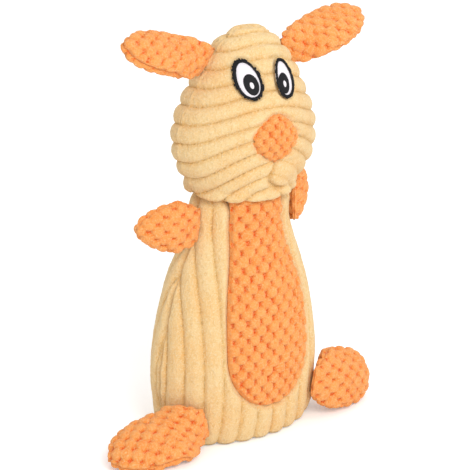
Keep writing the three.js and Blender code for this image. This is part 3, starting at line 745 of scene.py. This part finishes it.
def headPlace(ring, turn):
    low, high = head["lowRing"], head["topRing"]
    share = np.clip((ring - low) / (high - low), 0, 1)
    held = (np.abs(np.sin(turn)) < 0.02) | (ring <= low + 1) | (ring >= high)
    slack = np.where(held, 0, head["slack"])
    over = np.clip((ring - high) / (head["rings"] - high), 0, 1) * math.pi / 2
    inner = np.clip(ring / low, 0, 1) * np.cos(over)
    x = (head["halfWidth"] * readRows(head["rows"], share, 1) - slack) * inner * np.cos(turn)
    y = (head["halfDepth"] * readRows(head["rows"], share, 2) - slack) * inner * np.sin(turn)
    z = head["skirt"] + share * head["height"] + head["dome"] * np.sin(over)
    x = x + hump(z, *head["cheek"]) * np.maximum(np.cos(turn), 0) * inner
    out, height, reach = head["muzzle"]
    away = (x * x + (z - height) ** 2) / reach ** 2
    y = y - np.where(y < 0, out * np.exp(-away) * np.minimum(1, -2 * y / head["halfDepth"]), 0)
    lobeX, lobeZ, size, swell = head["lobe"]
    y = y - np.where(y < 0, swell * np.exp(-((x - lobeX) ** 2 + (z - lobeZ) ** 2) / size ** 2), 0)
    points = np.stack([x, y, z], axis=-1)
    sway = head["sway"] * waver(points, head["swaySize"], 4.2) * fade(z, 146, 160) * (1 - fade(z, 215, 232))
    points[..., 0] += sway * np.cos(turn)
    points[..., 1] += sway * np.sin(turn)
    return setOnNeck(points) * mm


def headHeld(ring, side):
    seam = (side == 0) | (side == head["sides"] // 2)
    return np.where(seam | (ring <= head["lowRing"] + 1) | (ring >= head["topRing"]), 1.0, 0.0)


headForm = StuffedForm(head["rings"], head["sides"], headPlace)
headForm.blowUp(headHeld, head["pressure"], head["most"] * mm)
print("head blown up")


def noseOutline():
    w, h, c = nose["halfWidth"], nose["halfHeight"], nose["height"]
    bow = nose["bow"] * w
    parts = [curve((w, c), (w, c + bow / 2), (bow * 0.7, c + h), (0, c + h)),
             curve((0, c + h), (-bow * 0.7, c + h), (-w, c + bow / 2), (-w, c)),
             curve((-w, c), (-w, c - bow), (-bow / 2, c - h), (0, c - h)),
             curve((0, c - h), (bow / 2, c - h), (w, c - bow), (w, c))]
    return np.concatenate(parts) * mm


def eyePlace(side, x, z, inward=0, up=0):  # from one eye's own X and Z to the upright head's, in metres
    sign = -1 if side == "right" else 1
    x, z = tilted(x, z, eye["tilt"][side])
    return np.stack([eye["sideways"] + sign * (eye["spacing"] / 2 - inward) + x,
                     eye["height"] - eye["drop"][side] + up + z], axis=-1) * mm


def eyePoints(side, turn, inset=0.0, share=1.0):  # points on an egg round one eye
    inner, outer = eye["narrower"][side]
    half = eye["halfWidth"] * (inner + (outer - inner) * fade(np.cos(turn), -0.5, 0.5))
    w, h = (half - inset) * share, (eye["halfHeight"] - inset) * share
    return eyePlace(side, w * np.cos(turn) * (1 - eye["narrow"] * np.sin(turn)), h * np.sin(turn))


noseEdge = noseOutline()
eyeEdges = [eyePoints(side, np.linspace(0, 2 * math.pi, 48, endpoint=False)) for side in ("right", "left")]


def makeHeadPanel(name, node, start, end, arcs, seed, front):
    rowLow, rowHigh = head["lowRing"] - head["hem"], head["rings"]
    path = (headForm.pathAt(0.0) + headForm.pathAt(math.pi)) / 2

    def climbed(point, row, arc, half, flat):  # how far the ribs have climbed, rising to the sides in front
        climb = np.interp(row, np.arange(len(path)), path)
        if not front:
            return climb + head["backSlope"] * (point[:, 1] - body["lean"][1] * mm)
        rise = readRows(head["rise"], flat[:, 1], 1)
        climb = climb - rise * mm * (1 - fade(np.abs(arc) / half, 0.04, 0.97))
        mouth = np.exp(-np.abs(flat[:, 0] - 1) / head["mouthReach"])
        return climb - head["mouthRise"] * mm * mouth * (1 - fade(flat[:, 1], *head["mouthTop"]))

    def face(lift, swell, flat):  # smooths the lobe and presses the cloth in under the nose and eyes
        lobeX, lobeZ, size, _ = head["lobe"]
        near = np.hypot(flat[:, 0] - lobeX, flat[:, 1] - lobeZ) / size
        lift = lift - (swell - head["lobeRest"]) * (1 - fade(near, *head["lobeEdge"])) * head["lobeSmooth"]
        pressed = 1 - fade(signedGap(flat[:, 0] * mm, flat[:, 1] * mm, noseEdge) / mm, -1.0, 1.5)
        for edge in eyeEdges:
            gap = signedGap(flat[:, 0] * mm, flat[:, 1] * mm, edge) / mm
            pressed = np.maximum(pressed, 1 - fade(gap, -0.6, 2.2))
        return lift * (1 - pressed) + np.minimum(lift, head["valley"] + head["pressedLift"]) * pressed

    def place(s, t):
        turn = start + (end - start) * s
        row = rowLow + (rowHigh - rowLow) * t
        point, normal = headForm.at(row, turn)
        arc = headForm.read(arcs, row, turn)
        half = np.abs(headForm.read(arcs, row, np.where(s < 0.5, start, end)))
        flat = upright(point) / mm
        rib = wales(climbed(point, row, arc, half, flat), point, seed)
        low, high = fade(row, rowLow, rowLow + head["hemRows"]), 1 - fade(row, rowHigh - 8, rowHigh - 2)
        swell = corduroy["relief"] / mm * rib + fluff(point, seed + 5)
        swell = swell * atLeast(0.3, high) * atLeast(0.3, low)
        lift = head["valley"] + swell - (1 - low) * head["hemDrop"]
        lift = lift - seamGroove(arc / mm, half / mm, head["seamDepth"], head["seamWidth"])
        if front:
            lift = face(lift, swell, flat)
            slit = np.exp(-(lineGap(flat[:, 0], flat[:, 1], head["mouth"]) / head["slitWidth"]) ** 2)
            lift = lift - head["slitDepth"] * slit
            # In the mouth slit the pile mark drops, so the slit takes the valley's painted shade colour.
            rib = rib * (1 - 0.8 * slit)
        return point + normal * (lift * mm)[:, None], [np.clip(rib, 0, 1)]

    bm = panel(net(head), place, ["pile"])
    makePiece(name, bm, "corduroy", "head", [node], head["wall"])


headFrontArc, headBackArc = headForm.arcFrom(-math.pi / 2), headForm.arcFrom(math.pi / 2)
makeHeadPanel("headFront", "head_front_panel", -math.pi, 0.0, headFrontArc, 0.2, True)
makeHeadPanel("headBack", "head_back_panel", 0.0, math.pi, headBackArc, 0.2, False)
print("head cloth done")


def makeNose():
    turns = np.arctan2(noseEdge[:, 1] - nose["height"] * mm, noseEdge[:, 0])
    reach = np.hypot(noseEdge[:, 1] - nose["height"] * mm, noseEdge[:, 0])
    order = np.argsort(turns)

    def place(s, t):
        x, z = discMap(s, t)
        around = np.arctan2(z, x)
        size = np.interp(around, turns[order], reach[order], period=2 * math.pi)
        ragged = sum(much * np.sin(around * count + first) for much, count, first in nose["ragged"])
        size = size * (1 + ragged * fade(np.hypot(x, z), 0.7, 1.0))
        x, z = x * size, z * size + nose["height"] * mm
        row, turn = standOn(headForm, x, z, upright, 18)
        point, normal = headForm.at(row, turn)
        rows, columns = z * nose["scale"][0] + nose["start"][0], x * nose["scale"][1] + nose["start"][1]
        dome, tone = bobbles(rows, columns, 7.0)
        gap = -signedGap(x, z, noseEdge) / mm
        lift = nose["base"] + nose["relief"] * dome * atLeast(0.35, fade(gap, 0, 2.5))
        lift = lift + nose["puff"] * fade(gap, 0, nose["puffReach"])
        lift = lift - nose["press"] * (1 - fade(gap, 0, 1.8)) + fluff(point, 6.0)
        return point + normal * (lift * mm)[:, None], [dome, tone]

    bm = panel(net(nose), place, ["pile", "tone"])
    makePiece("nose", bm, "bobble_plush", "head", ["nose_patch"], nose["wall"])


makeNose()

# The layers of an eye, from the head outwards: how high each stands, its stitches and its net
eyeLayers = {
    "Backing": {"slot": "white_thread", "height": 1.5, "stitch": 0.6, "inset": 0.5, "wall": 0.6,
                "net": (30, 30), "quickNet": (30, 30)},
    "Border": {"slot": "black_thread", "height": 2.7, "wall": 0.9, "net": (450, 7), "quickNet": (150, 5)},
    "White": {"slot": "white_thread", "height": 2.25, "stitch": 0.55, "inset": eye["border"] + 0.05,
              "wall": 0.5, "net": (70, 70), "quickNet": (30, 30)},
    "Pupil": {"slot": "black_thread", "height": 2.6, "stitch": 0.5, "wall": 0.3,
              "net": (26, 26), "quickNet": (26, 26)},
    "Glint": {"slot": "white_thread", "height": 2.95, "stitch": 0.4, "wall": 0.3,
              "net": (12, 12), "quickNet": (12, 12)},
}


def onHead(flat, lift):
    row, turn = standOn(headForm, flat[:, 0], flat[:, 1], upright, 30)
    point, normal = headForm.at(row, turn)
    return point + normal * (lift * mm)[:, None]


def eyeDisc(side, layer, size=None, up=0):  # a round layer: the whole eye, or a small egg of one size
    def place(s, t):
        x, z = discMap(s, t)
        reach = np.hypot(x, z)
        if size:
            inward, rise = eye["pupilAt"]
            narrow = eye["narrower"][side][1]
            flat = eyePlace(side, x * size[0] * narrow, z * size[1], inward, rise + up)
        else:
            flat = eyePoints(side, np.arctan2(z, x), layer["inset"], reach)
        stitch = 0.5 + 0.5 * np.cos((flat[:, 0] + 0.25 * flat[:, 1]) / mm * 2 * math.pi / layer["stitch"])
        lift = layer["height"] + eye["stitchRelief"] * stitch - eye["edgeDrop"] * fade(reach, 0.8, 1.0)
        return onHead(flat, lift), [stitch]
    return place


def eyeRing(side, layer):  # the border, ragged outside and nicked inside
    seed = 1.0 if side == "right" else 3.0

    def place(s, t):
        jag = eye["jag"] * speck(np.floor(s * eye["jags"]) % eye["jags"], 0 * s, seed)
        nick = eye["nick"] * speck(np.floor(s * eye["nicks"]) % eye["nicks"], 0 * s, 5.0)
        flat = eyePoints(side, 2 * math.pi * s, eye["border"] * (1 - t) - jag * t + nick * (1 - t))
        stitch = 0.5 + 0.5 * np.cos(s * eye["stitches"] * 2 * math.pi)
        lift = layer["height"] + eye["borderRelief"] * stitch - eye["borderDrop"] * (2 * t - 1) ** 4
        return onHead(flat, lift), [stitch]
    return place


for side in ("right", "left"):
    for name, layer in eyeLayers.items():
        if name == "Border":
            place = eyeRing(side, layer)
        elif name == "Pupil":
            place = eyeDisc(side, layer, eye["pupil"])
        elif name == "Glint":
            place = eyeDisc(side, layer, eye["glint"], -eye["glintDrop"])
        else:
            place = eyeDisc(side, layer)
        bm = panel(net(layer), place, ["stitch"], flip=name == "Border")
        makePiece("eye" + side.capitalize() + name, bm, layer["slot"], "head", [f"eye_{side}_{name.lower()}"],
                  layer["wall"])
print("face done")

# Limbs: flat stuffed pods of two bobbled layers, each with its root in a seam
limbKinds = {
    "ear": {"length": 50.5, "halfChord": 13.2, "halfThickness": 7.5,
            "rows": [[0, .84, .34], [.12, .92, .62], [.35, 1, .95], [.6, 1, 1], [.82, .82, .86],
                     [.94, .54, .58], [1, .2, .2]]},
    "arm": {"length": 33.5, "halfChord": 14.2, "halfThickness": 7.5,
            "rows": [[0, .88, .34], [.14, .98, .68], [.36, 1, 1], [.62, .82, .96], [.84, .58, .78],
                     [.95, .36, .52], [1, .16, .2]]},
    "foot": {"length": 54, "halfChord": 17.2, "halfThickness": 9.5,
             "rows": [[0, .66, .28], [.12, .88, .5], [.32, 1, .9], [.6, .98, 1], [.82, .78, .84],
                      [.94, .5, .56], [1, .2, .2]]},
}
# Each limb: its aim, backwards and upwards, and the twist of its flat faces, in radians, and its
# reach, a share of the kind's length
limbs = {
    "earRight": {"kind": "ear", "joint": "ear_right_flap", "seed": 1.0, "reach": 1,
                 "back": -0.03, "rise": 0.29, "twist": -0.85},
    "earLeft": {"kind": "ear", "joint": "ear_left_flap", "seed": 2.0, "reach": 1,
                "back": 0.14, "rise": 0.27, "twist": -0.85},
    "armRight": {"kind": "arm", "joint": "arm_right_swing", "seed": 3.0, "reach": 1,
                 "back": 0.15, "rise": 0.09, "twist": 0},
    "armLeft": {"kind": "arm", "joint": "arm_left_swing", "seed": 4.0, "reach": 1,
                "back": 0.95, "rise": 0.25, "twist": 0},
    "footRight": {"kind": "foot", "joint": "foot_right_flex", "seed": 5.0, "reach": 1.03,
                  "back": 0.15, "rise": -0.19, "twist": -1.19},
    "footLeft": {"kind": "foot", "joint": "foot_left_flex", "seed": 6.0, "reach": 0.9,
                 "back": 0.33, "rise": -0.24, "twist": -0.35},
}
pod = {"rings": 26, "sides": 24, "slack": 0.6, "pressure": 4.0, "most": 1.6, "tuck": 3.5, "overrun": 0.6,
       "tip": 0.5, "inset": 0.8, "bow": 0.5, "bowSize": 9, "rootThickness": 2.3, "thinnest": 0.7,
       "narrowest": 0.8, "valley": -0.3, "relief": 2.2, "rim": 1.8, "press": 0.5, "wall": 0.8,
       "seamGap": 0.001, "facesPerMm": (3.9, 1.75), "quickNet": (24, 30)}


def makeLimb(name, limb):
    kind, joint = limbKinds[limb["kind"]], joints[limb["joint"]]
    mirrored = name.endswith("Right")
    side = -1 if mirrored else 1
    root, up = np.array(joint["pos_m"]) / mm, -side * np.array(joint["axis"])
    length = kind["length"] * limb["reach"]
    level = math.cos(limb["rise"])
    ahead, rise = tilted(side * math.cos(limb["back"]) * level, math.sin(limb["rise"]),
                         body["roll"] if limb["kind"] == "ear" else 0)
    aim = np.array([ahead, math.sin(limb["back"]) * level, rise])
    out = aim - up * (aim @ up)
    out = out / np.linalg.norm(out)
    slope = (aim @ up) / (aim @ out)
    normal = side * np.cross(up, out)

    def podPlace(ring, turn):
        share = np.clip((ring - 1) / (pod["rings"] - 2), 0, 1)
        x = -pod["tuck"] + share * (length + pod["tuck"] + pod["overrun"])
        x = x + np.where(ring > pod["rings"] - 1, pod["tip"], 0)
        along = np.clip(x / length, 0, 1)
        sewn = (np.abs(np.cos(turn)) < 0.05) | (along < 0.08)
        slack = np.where(sewn, 0, pod["slack"]) * (1 - fade(along, 0.9, 1))
        chord = kind["halfChord"] * readRows(kind["rows"], along, 1) - pod["inset"]
        chord = np.maximum(chord, pod["narrowest"]) * atLeast(0.8, fade(x, -pod["tuck"], 1.5))
        thick = kind["halfThickness"] * readRows(kind["rows"], along, 2)
        thick = np.where(x < 2, np.maximum(thick, pod["rootThickness"]), thick) - pod["inset"] - slack
        thick = np.maximum(thick, pod["thinnest"]) * atLeast(0.5, fade(x, -pod["tuck"], 1))
        ends = np.where((ring < 1) | (ring > pod["rings"] - 1), 0.0, 1.0)
        across, tall = thick * np.cos(turn) * ends, chord * np.sin(turn) * ends
        z, y = tilted(tall, across, limb["twist"] * fade(x / length, 0, 0.4))
        z = z + slope * x
        y = y + pod["bow"] * np.sin(x / pod["bowSize"] + limb["seed"]) * fade(along, 0.1, 0.4)
        points = root + x[..., None] * out + y[..., None] * normal + z[..., None] * up
        return points * mm

    def held(ring, column):
        seam = (column == pod["sides"] // 4) | (column == 3 * pod["sides"] // 4)
        return np.where(seam | (ring <= 3) | (ring >= pod["rings"] - 1), 1.0, 0.0)

    form = StuffedForm(pod["rings"], pod["sides"], podPlace, -1 if mirrored else 1)
    form.blowUp(held, pod["pressure"], pod["most"] * mm)
    wide, tall = pod["facesPerMm"]
    counts = {"net": (int(kind["halfChord"] * wide), int(kind["length"] * tall)), "quickNet": pod["quickNet"]}
    for layer, middle in (("Front", math.pi), ("Back", 0.0)):
        arcs, path = form.arcFrom(middle), form.pathAt(middle)

        def place(s, t):
            turn = middle - math.pi / 2 + math.pi * (pod["seamGap"] + (1 - 2 * pod["seamGap"]) * s)
            row = pod["rings"] * t
            point, outward = form.at(row, turn)
            arc = form.read(arcs, row, turn)
            height = np.interp(row, np.arange(len(path)), path)
            grain = (arc, height) if limb["kind"] == "ear" else (height, arc)
            dome, tone = bobbles(*grain, limb["seed"] + (9 if middle else 0))
            half = np.abs(form.read(arcs, row, np.where(s < 0.5, middle - math.pi / 2, middle + math.pi / 2)))
            edge = fade((half - np.abs(arc)) / mm, 0.0, pod["rim"])
            near, tip = fade(row, 1, 3.5), 1 - fade(row, pod["rings"] - 1.2, pod["rings"])
            swell = (pod["relief"] * dome + fluff(point, limb["seed"])) * edge
            lift = pod["valley"] + swell * atLeast(0.2, near) * atLeast(0.3, tip)
            lift = lift - pod["press"] * (1 - edge) * tip
            return point + outward * (lift * mm)[:, None], [dome, tone]

        bm = panel(net(counts), place, ["pile", "tone"], flip=mirrored)
        hinge, reach = Vector(joint["pos_m"]), Vector(out) * mm
        node = f"{limb['joint'].rsplit('_', 1)[0]}_{layer.lower()}"
        makePiece(name + layer, bm, "bobble_plush", joint["child"], [node], pod["wall"],
                  blend=(joint["parent"], joint["child"], hinge - reach, hinge + reach * 8))


for name, limb in limbs.items():
    makeLimb(name, limb)
print("limbs done")

# Inside: the filling and the squeaker keep the shapes they have, out of sight
for node, obj in frame["nodes"].items():
    for word, slot in (("filling", "fibrefill"), ("squeaker", "squeaker_plastic")):
        if word in node:
            obj.data.materials.clear()
            obj.data.materials.append(cloths[slot])

# Floor, light and camera
studio = {"floor": 6.0, "floorShade": 0.97, "floorGlow": 0.2, "world": 0.73, "lit": (0, 0, 0.1),
          "lens": 219.0, "sensor": 36, "distance": 1.6, "azimuth": -35.0, "elevation": 21.0,
          "aim": (0.0009, -0.00063, 0.1135)}
bpy.ops.mesh.primitive_plane_add(size=studio["floor"])
floor = bpy.context.object
floor.name = "floor"
floorFinish = Finish("floor")
shade = studio["floorShade"]
seen = [floorFinish.node("ShaderNodeLightPath", output=output)
        for output in ("Is Camera Ray", "Is Glossy Ray", "Is Transmission Ray")]
glow = seen[0].maths("MAXIMUM", seen[1]).maths("MAXIMUM", seen[2]) * studio["floorGlow"]
floorFinish.set(Base_Color=(shade, shade, shade), Roughness=0.9, Specular_IOR_Level=0.0,
                Emission_Strength=1.0, Emission_Color=glow)
floor.data.materials.append(floorFinish.material)

world = bpy.data.worlds.new("studio")
world.use_nodes = True
bpy.context.scene.world = world
backdrop = world.node_tree.nodes["Background"]
backdrop.inputs["Color"].default_value = (1, 1, 1, 1)
backdrop.inputs["Strength"].default_value = studio["world"]

lamps = {
    "key": {"at": (-0.4, -1.65, 1.4), "size": 0.9, "power": 22},
    "fill": {"at": (1.5, -1.0, 0.9), "size": 1.2, "power": 3},
    "top": {"at": (0.2, 0.4, 1.9), "size": 1.4, "power": 5},
}
for name, lamp in lamps.items():
    light = bpy.data.lights.new(name, "AREA")
    light.energy, light.size = lamp["power"], lamp["size"]
    obj = bpy.data.objects.new(name, light)
    obj.location = lamp["at"]
    obj.rotation_euler = (Vector(studio["lit"]) - Vector(lamp["at"])).to_track_quat("-Z", "Y").to_euler()
    bpy.context.scene.collection.objects.link(obj)

turn, rise = math.radians(studio["azimuth"]), math.radians(studio["elevation"])
view = Vector((math.sin(turn) * math.cos(rise), -math.cos(turn) * math.cos(rise), math.sin(rise)))
camera = bpy.data.objects.new("camera", bpy.data.cameras.new("camera"))
camera.data.lens, camera.data.sensor_width = studio["lens"], studio["sensor"]
camera.location = Vector(studio["aim"]) + view * studio["distance"]
camera.rotation_euler = view.to_track_quat("Z", "Y").to_euler()
bpy.context.scene.collection.objects.link(camera)
bpy.context.scene.camera = camera
bpy.context.scene.view_settings.view_transform = "Standard"
